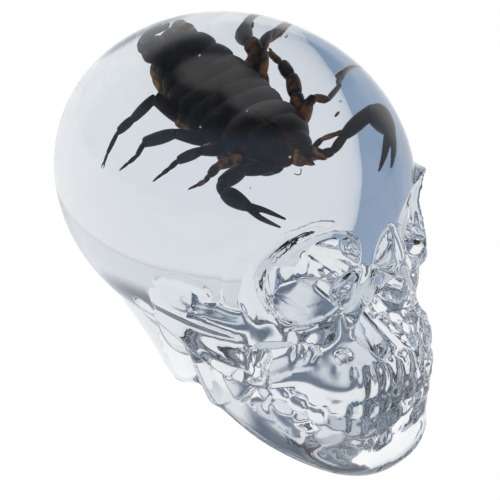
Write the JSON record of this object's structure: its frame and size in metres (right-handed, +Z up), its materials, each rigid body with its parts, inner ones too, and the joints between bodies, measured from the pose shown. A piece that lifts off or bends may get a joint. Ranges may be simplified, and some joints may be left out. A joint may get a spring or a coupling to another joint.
{
  "type": "skull-shaped clear resin paperweight with a scorpion sealed in it",
  "caption": "Solid clear resin casting in the shape of a human skull with a real black scorpion sealed in the braincase; a paperweight.",
  "frame": {"origin": "on the ground, under the middle of the casting's box", "axes": "+Z up, the face looks along -Y, the skull's own left is +X"},
  "size_m": [0.0646, 0.088, 0.0896],
  "materials": {
    "clear_resin": "water-clear cast resin, polished",
    "scorpion": "glossy black chitin, brown where it is thin"
  },
  "bodies": {
    "root": {"resin_skull": "clear_resin"}
  },
  "joints": []
}
